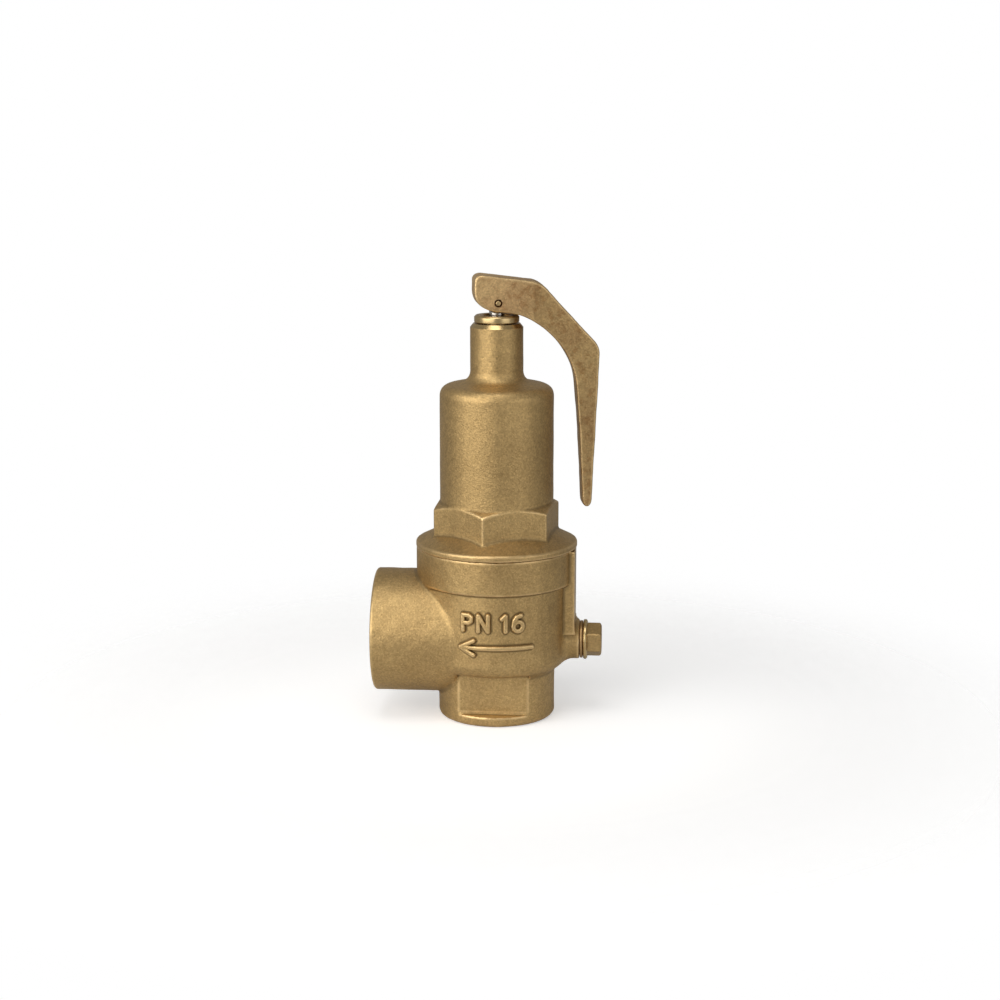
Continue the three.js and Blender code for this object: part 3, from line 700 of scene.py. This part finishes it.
def hexagon(name, flats, low, high, finish, corner=0.0, crown=0.0, edge=0.25, cell=0.3, bore=0.0):
    """A nut or a bolt's head: rounded edges, and the top corners chamfered at 30 degrees."""
    def form(x, y, z):
        a = math.radians(corner)
        u, v = x * math.cos(a) + y * math.sin(a), y * math.cos(a) - x * math.sin(a)
        h = math.sqrt(3) / 2
        walls = trim(trim(np.abs(v), np.abs(u * h + v / 2), edge), np.abs(u * h - v / 2), edge) - flats / 2
        made = trim(walls, np.abs(z - (low + high) / 2) - (high - low) / 2, edge)
        across = np.hypot(x, y)
        if crown:
            made = trim(made, slope(across, z, (flats / 2 * 0.96, high), 60), edge)
        if bore:
            made = trim(made, bore - across, edge)
        return made
    r = flats / math.sqrt(3) + 0.5
    piece = skin(name, form, (-r, -r, low - 0.3), (r, r, high + 0.3), cell, finish)
    return smooth(piece, 50)


screw_head = hexagon("retainer_screw_head", 13, 32.5, 37.7, stainless)
screw_head.data.transform(Matrix.Diagonal((1, 1, -1, 1)))
screw_head.data.transform(Matrix.Translation((0, 0, 70.2 * MM)))
screw_head.data.flip_normals()
shank = turned("retainer_screw_shank", [(0, 37), (4, 37), (4, 54.6), (3.2, 55.6), (0, 55.6)], stainless, 64)
work(screw_head, shank, "UNION")
smooth(screw_head, 50)
lower_plate = turned("lower_plate", [(4.7, 84.7, 0.3), (9.6, 84.7, 0.4), (9.6, 88.3), (22.3, 88.3, 0.3),
                                     (23.3, 89.3, 0.4), (23.3, 92.3, 0.4), (15.6, 92.3, 0.5),
                                     (15.6, 95.9, 0.3), (14.6, 96.9, 0.3), (4.7, 96.9, 0.3)], seat_bronze)
lift_washer = turned("lifting_washer", [(4.5, 79.6, 0.2), (9.4, 79.6, 0.2), (9.4, 80.7, 0.2),
                                        (4.5, 80.7, 0.2)], stainless)
snap = turned("snap_ring_whole", [(7, 81.1, 0.3), (10.9, 81.1, 0.3), (10.9, 82.6, 0.3), (7, 82.6, 0.3)],
              stainless)
gap_tool = turned("snap_gap", [(0, -14), (1.8, -14), (1.8, 0), (0, 0)], stainless, 4)
gap_tool.data.transform(Matrix.Translation((0, 0, 82 * MM)) @ Matrix.Rotation(math.radians(-90), 4, "Y"))
work(snap, gap_tool)
smooth(snap)
for piece, node, finish in ((carrier, "disc_carrier", "machined_brass"), (rubber_disc, "seal_disc", "rubber"),
                            (retainer, "seal_retainer", "stainless"),
                            (screw_head, "retainer_screw", "stainless"),
                            (lower_plate, "lower_spring_plate", "machined_brass"),
                            (lift_washer, "lift_washer", "stainless"),
                            (snap, "carrier_snap_ring", "stainless")):
    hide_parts(node)
    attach(piece, "valve_disc")


# ---- Bonnet ---------------------------------------------------------------------------
# A second casting, screwed into the rim of the body: a sloping flange, a spanner hexagon,
# the tall dome round the spring and the neck that takes the adjusting screw.
HEX_CORNER, HEX_HALF, HEX_EDGE = 22.4, 30.3, 0.6
FLANGE_R, DOME_R, NECK_R, NECK_TOP = 42.8, 30.0, 13.9, 210.7


def bonnet_form(x, y, z):
    across = np.hypot(x, y) + hand_rammed(y, x, z, 0.05)
    flange = drum(across, z, FLANGE_R, 92.1, 104, 0.8)
    flange = trim(flange, slope(across, z, (42.2, 95.4), 64.4), 0.8)
    a = math.radians(HEX_CORNER)
    u, v = x * math.cos(a) + y * math.sin(a), y * math.cos(a) - x * math.sin(a)
    h = math.sqrt(3) / 2
    walls = trim(trim(np.abs(v), np.abs(u * h + v / 2), HEX_EDGE), np.abs(u * h - v / 2), HEX_EDGE) - HEX_HALF
    hexagon_bar = trim(walls, np.abs(z - 106) - 10.6, 0.6)
    hexagon_bar = trim(hexagon_bar, slope(across, z, (DOME_R - 0.2, 116.4), 60), 0.6)
    bonnet = meld(flange, hexagon_bar, 1.2)
    dome = drum(across, z, DOME_R, 95, 186, 3)
    dome = trim(dome, slope(across, z, (26.5, 178.1), 77.5), 5)
    bonnet = meld(bonnet, dome, 1.0)
    neck = drum(across, z, NECK_R, 150, NECK_TOP, 0.7)
    return meld(bonnet, neck, 5)


bonnet = skin("bonnet_skin", bonnet_form, (-43.2, -43.2, 91.8), (43.2, 43.2, 211), 0.63, cast_bronze)
cut_neck = turned_metal("cut_bronze_neck", (0.64, 0.47, 0.23), (0.5, 0.34, 0.15), 0.24)
work(bonnet, turned("neck_face", [(0, 210.5), (12.3, 210.5), (14.3, 208.0), (20, 208.0), (20, 215), (0, 215)],
                    cut_neck))
skirt = helical("bonnet_thread", 33.2, 0.9, 1.5, 12.6, 75.3, cut_upright)
work(skirt, turned("skirt_top", [(0, 87.6), (31.4, 87.6), (31.4, 91), (33, 91), (33, 92.8), (0, 92.8)],
                   cut_upright, 96), "UNION")
work(bonnet, skirt, "UNION")
work(bonnet, turned("spring_space", [(0, 74), (25, 74), (25, 99), (26, 100), (26, 165.5), (25.2, 170),
                                     (22.4, 173.2, 1), (17, 175.2), (10, 175.2), (10, 209.6), (11, 210.7),
                                     (11, 212), (0, 212)], cut_neck))
smooth(bonnet)
store_wear_and_shade(bonnet, bonnet_form, 1.2)
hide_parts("bonnet")
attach(bonnet, "housing")


# ---- Spring and its setting -----------------------------------------------------------
# A coil of round oiled wire between two plates. The hollow adjusting screw presses on the
# upper plate through a thrust washer, and a round lock nut holds it.
oiled_steel = turned_metal("oiled_spring_steel", (0.16, 0.16, 0.165), (0.09, 0.085, 0.08), 0.32)
SPRING_LOW, SPRING_HIGH, WIRE_R = 92.6, 166.0, 2.75


def spring_tree():
    tree = node_group("coil_spring", ("Coil radius", "Wire radius", "Low end", "High end", "Turns"))
    given = tree.nodes.new("NodeGroupInput").outputs

    maths = calculator(tree)
    line = wire(tree, "GeometryNodeCurvePrimitiveLine", inputs={"End": (0, 0, 1)})
    fine = wire(tree, "GeometryNodeResampleCurve", inputs={"Curve": line.outputs[0], "Count": 420})
    t = wire(tree, "GeometryNodeSplineParameter").outputs["Factor"]
    turns = maths("MULTIPLY", t, given["Turns"])
    angle = maths("MULTIPLY", turns, 2 * math.pi)
    pitch = maths("MULTIPLY", given["Wire radius"], 2.1)  # rise of a closed end turn
    first = maths("MINIMUM", turns, 1.0)
    last = maths("MAXIMUM", maths("SUBTRACT", turns, maths("SUBTRACT", given["Turns"], 1.0)), 0.0)
    open_turns = maths("SUBTRACT", maths("SUBTRACT", turns, first), last)
    travel = maths("SUBTRACT", maths("SUBTRACT", given["High end"], given["Low end"]),
                   maths("ADD", maths("MULTIPLY", pitch, 2.0), maths("MULTIPLY", given["Wire radius"], 2.0)))
    rise = maths("DIVIDE", travel, maths("SUBTRACT", given["Turns"], 2.0))
    height = maths("ADD", maths("MULTIPLY", maths("ADD", first, last), pitch),
                   maths("MULTIPLY", open_turns, rise))
    height = maths("ADD", height, maths("ADD", given["Low end"], given["Wire radius"]))
    x = maths("MULTIPLY", maths("COSINE", angle), given["Coil radius"])
    y = maths("MULTIPLY", maths("SINE", angle), given["Coil radius"])
    spot = wire(tree, "ShaderNodeCombineXYZ", inputs={0: x, 1: y, 2: height}).outputs[0]
    moved = wire(tree, "GeometryNodeSetPosition", inputs={"Geometry": fine.outputs[0], "Position": spot})
    section = wire(tree, "GeometryNodeCurvePrimitiveCircle", inputs={"Resolution": 20,
                                                                     "Radius": given["Wire radius"]})
    swept = wire(tree, "GeometryNodeCurveToMesh", inputs={"Curve": moved.outputs[0],
                                                          "Profile Curve": section.outputs[0],
                                                          "Fill Caps": True})
    return ended(tree, swept.outputs[0], given["Finish"])


spring = made_by("coil_spring", spring_tree(), {
    "Coil radius": 19 * MM, "Wire radius": WIRE_R * MM, "Low end": SPRING_LOW * MM,
    "High end": SPRING_HIGH * MM, "Turns": 8.0, "Finish": oiled_steel})
if volume(spring.data) < 0:
    spring.data.flip_normals()
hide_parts("main_spring")
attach(spring, "housing")
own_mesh(spring)

turned_brass = turned_metal("turned_brass", (0.62, 0.46, 0.23), (0.46, 0.32, 0.15), 0.3)
upper_plate = turned("upper_plate", [(4.7, 161.7, 0.3), (14.6, 161.7, 0.3), (15.6, 162.7, 0.3),
                                     (15.6, 166.3, 0.4), (22.2, 166.3, 0.3), (22.2, 169.3, 0.3),
                                     (21.2, 170.3, 0.3), (10.4, 170.3, 0.3), (10.4, 168.3), (4.7, 168.3)],
                     seat_bronze)
thrust = turned("thrust_ring", [(4.7, 168.6, 0.2), (10.1, 168.6, 0.2), (10.1, 170.4, 0.2), (4.7, 170.4, 0.2)],
                stainless)
screw = turned("screw_core", [(4.5, 170.7, 0.3), (8.2, 170.7, 0.3), (9.0, 171.6), (9.0, 207.7), (8.9, 208.5),
                              (7, 208.5), (7, 213.2, 0.3), (6.6, 213.6, 0.2), (4.5, 213.6, 0.2)],
               turned_brass, 96)
thread = helical("screw_thread_part", 9.7, 0.7, 1.5, 34, 172.5, turned_brass)
work(thread, turned("screw_bore", [(0, 160), (4.6, 160), (4.6, 220), (0, 220)], turned_brass, 96))
work(screw, thread, "UNION")
smooth(screw)
lock_nut = turned("lock_nut_ring", [(7.3, 211, 0.3), (11.4, 211, 0.2), (11.8, 211.4, 0.2),
                                    (11.8, 213.9, 0.25), (10.9, 214.8, 0.35), (7.9, 214.8, 0.25),
                                    (7.3, 214.2, 0.2)], turned_brass)
for side in (0, 180):
    a = math.radians(side + 10)
    hole = turned("spanner_hole", [(0, 213), (1.1, 213), (1.1, 216), (0, 216)], turned_brass, 32)
    hole.data.transform(Matrix.Translation((9.4 * MM * math.cos(a), 9.4 * MM * math.sin(a), 0)))
    work(lock_nut, hole)
smooth(lock_nut)
for piece, node, finish in ((upper_plate, "upper_spring_plate", "machined_brass"),
                            (thrust, "thrust_washer", "stainless"),
                            (screw, "adjusting_screw", "machined_brass"),
                            (lock_nut, "lock_nut", "machined_brass")):
    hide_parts(node)
    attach(piece, "housing")


# ---- Spindle --------------------------------------------------------------------------
# A steel rod from the disc to the lever. A pinned nut at its foot lifts the disc, and a
# flat eye at its head takes the lever's pin.
PIN_Z, LEVER_TURN = 221.5, 10.0
swung = Matrix.Rotation(math.radians(LEVER_TURN), 4, "Z")


def spindle_form(x, y, z):
    across = np.hypot(x, y)
    rod = drum(across, z, 4, 203, PIN_Z, 0.3)
    eye = drum(np.hypot(x, z - PIN_Z), y, 4.8, -3.8, 3.8, 0.3)
    hole = 2.1 - np.hypot(x, z - PIN_Z)
    return trim(meld(rod, eye, 1.2), hole, 0.3)


eye_end = skin("spindle_steel", spindle_form, (-5.5, -5.5, 202.6), (5.5, 5.5, 227), 0.25, stainless)
work(eye_end, turned("eye_cut", [(0, 200), (9, 200), (9, 206), (0, 206)], stainless, 32))
spindle = turned("spindle_rod", [(0, 68), (3.2, 68, 0.2), (4, 68.8, 0.2), (4, 206.02), (0, 206.02)],
                 stainless, 96)
work(spindle, eye_end, "UNION")
smooth(spindle)
foot_nut = hexagon("foot_nut_steel", 15, 73.4, 79.3, stainless, crown=1, bore=4.25)
foot_pin = lie(turned("foot_pin_steel", [(0, -6.6), (1, -6.6, 0.2), (1, 6.6, 0.2), (0, 6.6)], stainless, 32),
               90, 76.4, "Y")
for piece in (spindle, foot_nut):
    pin_hole = lie(turned("pin_drill", [(0, -12), (1.2, -12), (1.2, 12), (0, 12)], stainless, 32), 90, 76.4,
                   "Y")
    work(piece, pin_hole)
    smooth(piece, 45)
for piece, node in ((spindle, "spindle"), (foot_nut, "foot_nut"), (foot_pin, "foot_pin")):
    piece.data.transform(swung)
    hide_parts(node)
    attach(piece, "spindle")


# ---- Lever ----------------------------------------------------------------------------
# A rough casting, left as it came from the mould: a fork over the spindle's eye, a bend,
# and an arm that hangs beside the dome. A solid pin joins it to the spindle.
lever_bronze = sand_cast("lever_bronze", (0.47, 0.325, 0.145), (0.37, 0.235, 0.105), (0.66, 0.52, 0.42), 0.5,
                         0.65)


def lever_outline():
    def bend(a, c, b, steps=8):
        return [((1 - t) ** 2 * a[0] + 2 * t * (1 - t) * c[0] + t * t * b[0],
                 (1 - t) ** 2 * a[1] + 2 * t * (1 - t) * c[1] + t * t * b[1])
                for t in np.linspace(0, 1, steps)]
    outline = bend((-12.3, 233), (-11.8, 236), (-7.8, 236))
    outline += bend((18.6, 232.7), (23.8, 231.4), (26.8, 227))
    outline += bend((51.2, 200.6), (53.8, 197.4), (53.7, 193.6))
    outline += [(52.3, 163)]
    outline += bend((50.1, 116.5), (49.6, 112.9), (47.6, 112.9))
    outline += bend((47.6, 112.9), (45.4, 113), (45.1, 116.4))[1:]
    outline += [(43.3, 152.6)]
    outline += bend((41.3, 178.6), (39.6, 194.8), (25.6, 206.7), 14)
    outline += bend((25.6, 206.7), (18.8, 212.6), (11.2, 215.2))[1:]
    outline += bend((11.2, 215.2), (3, 216.9), (-1, 216.9))[1:]
    outline += bend((-1, 216.9), (-7, 217.8), (-10.4, 221.2))[1:]
    outline += bend((-10.4, 221.2), (-12.4, 223.8), (-12.4, 228))[1:]
    return np.array(outline)


LEVER_OUTLINE = lever_outline()


def inside_outline(u, z):
    """Distance from the lever's outline, below 0 inside it."""
    near = np.full(np.broadcast(u, z).shape, 1e9)
    side = np.ones(near.shape)
    for (a, b), (c, d) in zip(LEVER_OUTLINE, np.roll(LEVER_OUTLINE, -1, 0)):
        ex, ez = c - a, d - b
        t = np.clip(((u - a) * ex + (z - b) * ez) / (ex * ex + ez * ez), 0, 1)
        near = np.minimum(near, (u - a - t * ex) ** 2 + (z - b - t * ez) ** 2)
        crosses = ((b <= z) & (z < d)) | ((d <= z) & (z < b))
        left = u < a + (z - b) * ex / (ez if abs(ez) > 1e-9 else 1e-9)
        side = np.where(crosses & left, -side, side)
    return np.sqrt(near) * side


def lever_form(x, y, z):
    flat = inside_outline(x, z) + hand_rammed(x, y, z, 0.1)
    half = np.interp(x, (18.8, 41, 54), (9.0, 5.4, 5.0))
    side = np.abs(y) - half + hand_rammed(z, x, y, 0.12)
    round_off = 1.0
    q, w = flat + round_off, side + round_off
    return np.hypot(np.maximum(q, 0), np.maximum(w, 0)) + np.minimum(np.maximum(q, w), 0) - round_off


lever = skin("lever_skin", lever_form, (-14, -9.4, 112.5), (54.2, 9.4, 236.6), 0.55, lever_bronze)
slot_outline = [(5.4, PIN_Z + 2), (4.9, PIN_Z + 4.2), (3.0, PIN_Z + 5.5), (0, PIN_Z + 5.8),
                (-2.8, PIN_Z + 4.9), (-20, PIN_Z - 0.6), (-20, PIN_Z - 14), (5.4, PIN_Z - 14)]
slot_mesh = bmesh.new()
ring = [slot_mesh.verts.new((u * MM, -4.25 * MM, z * MM)) for u, z in slot_outline]
face = slot_mesh.faces.new(ring)
grown = bmesh.ops.extrude_face_region(slot_mesh, geom=[face])
moving = [v for v in grown["geom"] if isinstance(v, bmesh.types.BMVert)]
bmesh.ops.translate(slot_mesh, verts=moving, vec=(0, 8.5 * MM, 0))
bmesh.ops.recalc_face_normals(slot_mesh, faces=slot_mesh.faces)
slot_tool = bpy.data.objects.new("lever_slot", bpy.data.meshes.new("lever_slot"))
slot_mesh.to_mesh(slot_tool.data)
slot_mesh.free()
slot_tool.data.materials.append(lever_bronze)
bpy.context.scene.collection.objects.link(slot_tool)
work(lever, slot_tool)
cut_pin = turned_metal("grimy_pin_bore", (0.3, 0.16, 0.07), (0.2, 0.1, 0.04), 0.6)
work(lever, lie(turned("pin_bore", [(0, -12), (2.1, -12), (2.1, 12), (0, 12)], cut_pin, 48), 90, PIN_Z, "Y"))
smooth(lever)
store_wear_and_shade(lever, lever_form, 1.2)
# Painted highlight, with a paler tone, on the lever's head left of the bend and towards the lower end of its
# arm.
co = np.empty(len(lever.data.vertices) * 3)
lever.data.vertices.foreach_get("co", co)
u, v, w = co.reshape(-1, 3).T / MM
lightened = (np.clip((19.4 - u) / 1.6, 0, 1) * 0.4 + np.clip((20 - u) / 16, 0, 1) * 0.4
          + np.clip((140 - w) / 30, 0, 1) * 0.3)
lever.data.attributes.new("pale", "FLOAT", "POINT").data.foreach_set("value", lightened.astype(np.float32))
pin_metal = turned_metal("pin_metal", (0.62, 0.45, 0.22), (0.45, 0.31, 0.14), 0.34)
pin = lie(turned("lever_pin_rod", [(0, -9.1), (1.1, -9.1, 0.3), (1.9, -8.0, 0.3), (1.9, 8.0, 0.3),
                                   (1.1, 9.1, 0.3), (0, 9.1)], pin_metal, 48), 90, PIN_Z, "Y")
for piece, node, finish in ((lever, "lever", "lever_bronze"), (pin, "lever_pin", "stainless")):
    piece.data.transform(swung)
    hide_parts(node)
    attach(piece, "lever")


# ---- Drain plug -----------------------------------------------------------------------
# A brass plug with a round collar and a small hexagon, screwed down on a copper washer.
plug_brass = sand_cast("plug_brass", (0.56, 0.39, 0.17), (0.42, 0.28, 0.12), (0.8, 0.74, 0.64), 0.36)
cut_plug = turned_metal("cut_brass_plug", (0.66, 0.49, 0.24), (0.5, 0.35, 0.16), 0.26, "X", DRAIN_Z)
plug = hexagon("plug_head", 16, 47.6, 56.3, plug_brass, corner=0, crown=1, edge=0.5, cell=0.28)
collar = turned("plug_collar", [(0, 46.6), (10.2, 46.6, 0.2), (10.65, 47.1, 0.2), (10.65, 48.2, 0.3),
                                (9.6, 48.8, 0.3), (0, 48.8)], cut_plug)
work(collar, helical("plug_thread", 6.1, 0.55, 1.337, 11, 36, cut_plug), "UNION")
work(plug, collar, "UNION")
lie(plug, 90, DRAIN_Z)
smooth(plug, 42)
washer_copper = turned_metal("washer_copper", (0.5, 0.325, 0.15), (0.36, 0.22, 0.1), 0.38, "X", DRAIN_Z)
drain_washer = lie(turned("plug_washer", [(6.6, 44.8, 0.2), (10, 44.8, 0.4), (10, 46.3, 0.4),
                                          (6.6, 46.3, 0.2)], washer_copper), 90, DRAIN_Z)
for piece, node, finish in ((plug, "drain_plug", "machined_brass"), (drain_washer, "drain_washer", "copper")):
    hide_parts(node)
    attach(piece, "housing")


# ---- Table and light ------------------------------------------------------------------
# A pale matt table that fades out at its rim, a large soft light at the upper left, a
# weaker one at the right and plain white surroundings.
table = turned("table_top", [(0, -6), (700, -6), (700, -0.05), (0, -0.05)], None, 96)
pale = bpy.data.materials.new("pale_table")
pale.use_nodes = True
tree = pale.node_tree
shader = tree.nodes["Principled BSDF"]
shader.inputs["Base Color"].default_value = (0.78, 0.78, 0.78, 1)
shader.inputs["Roughness"].default_value = 0.8
shader.inputs["Emission Color"].default_value = (1, 1, 1, 1)
seen = wire(tree, "ShaderNodeLightPath").outputs["Is Camera Ray"]
tree.links.new(calculator(tree)("MULTIPLY", seen, 0.45), shader.inputs["Emission Strength"])
place = wire(tree, "ShaderNodeTexCoord").outputs["Object"]
reach = wire(tree, "ShaderNodeVectorMath", operation="LENGTH", inputs={0: place}).outputs["Value"]
fade = wire(tree, "ShaderNodeMapRange", inputs={0: reach, 1: 0.1, 2: 0.36, 3: 1.0, 4: 0.0},
            interpolation_type="SMOOTHSTEP")
tree.links.new(fade.outputs[0], shader.inputs["Alpha"])
table.data.materials.clear()
table.data.materials.append(pale)

world = bpy.data.worlds.new("surroundings")
world.use_nodes = True
bpy.context.scene.world = world
tree = world.node_tree
seen = tree.nodes["Background"]
seen.inputs["Strength"].default_value = 1.0
room = wire(tree, "ShaderNodeBackground", inputs={"Color": (1, 0.985, 0.96, 1), "Strength": 0.3})
which = wire(tree, "ShaderNodeMixShader",
             inputs={0: wire(tree, "ShaderNodeLightPath").outputs["Is Camera Ray"], 1: room.outputs[0],
                     2: seen.outputs[0]})
tree.links.new(which.outputs[0], tree.nodes["World Output"].inputs["Surface"])
seen.inputs["Color"].default_value = (1, 1, 1, 1)


def soft_light(name, place, size, power, colour=(1, 1, 1)):
    light = bpy.data.objects.new(name, bpy.data.lights.new(name, "AREA"))
    light.data.shape = "RECTANGLE"
    light.data.size, light.data.size_y = size
    light.data.energy = power
    light.data.color = colour
    light.location = place
    aim = Vector((0, 0, 0.11)) - Vector(place)
    light.rotation_euler = aim.to_track_quat("-Z", "Y").to_euler()
    bpy.context.scene.collection.objects.link(light)


soft_light("key", (-0.85, -1.0, 0.55), (1.6, 1.2), 16, (1, 0.985, 0.96))
soft_light("fill", (1.05, -0.85, 0.35), (1.0, 0.9), 3.2)
soft_light("top", (-0.1, -0.4, 1.1), (0.6, 0.5), 3)
